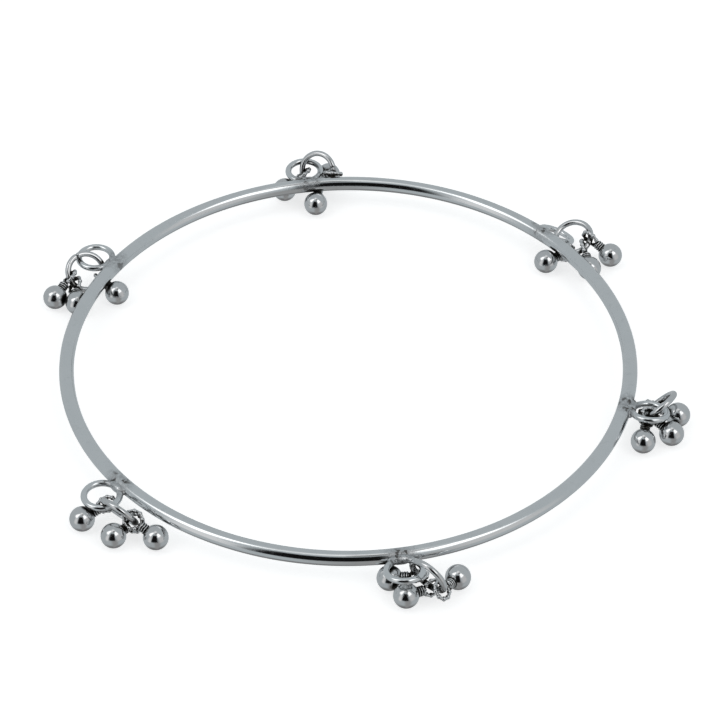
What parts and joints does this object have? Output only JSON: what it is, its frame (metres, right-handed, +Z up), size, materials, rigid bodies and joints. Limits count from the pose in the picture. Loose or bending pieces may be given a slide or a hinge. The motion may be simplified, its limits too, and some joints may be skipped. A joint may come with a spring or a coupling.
{
  "type": "charm bangle",
  "caption": "Plain round wire bangle hung with small clusters of polished ball drops on jump rings, lying on its side.",
  "frame": {"origin": "on the surface the bangle lies on, below the middle of the whole bangle", "axes": "+Z up, through the hoop as the wrist goes; +X between charms 1 and 2, at the right of the camera's view; -Y nearly towards charm 6, at its front"},
  "size_m": [0.0718, 0.072, 0.0055],
  "materials": {
    "silver": "polished silver",
    "aged_silver": "polished silver, darker in its recesses"
  },
  "bodies": {
    "root": {"bangle_hoop": "silver", "jump_ring_1": "aged_silver", "ball_drop_1a": "aged_silver", "ball_drop_1b": "aged_silver", "ball_drop_1c": "aged_silver", "jump_ring_2": "aged_silver", "ball_drop_2a": "aged_silver", "ball_drop_2b": "aged_silver", "ball_drop_2c": "aged_silver", "jump_ring_3": "aged_silver", "ball_drop_3a": "aged_silver", "ball_drop_3b": "aged_silver", "ball_drop_3c": "aged_silver", "jump_ring_4": "aged_silver", "ball_drop_4a": "aged_silver", "ball_drop_4b": "aged_silver", "ball_drop_4c": "aged_silver", "jump_ring_5": "aged_silver", "ball_drop_5a": "aged_silver", "ball_drop_5b": "aged_silver", "ball_drop_5c": "aged_silver", "jump_ring_6": "aged_silver", "ball_drop_6a": "aged_silver", "ball_drop_6b": "aged_silver", "ball_drop_6c": "aged_silver"}
  },
  "joints": []
}
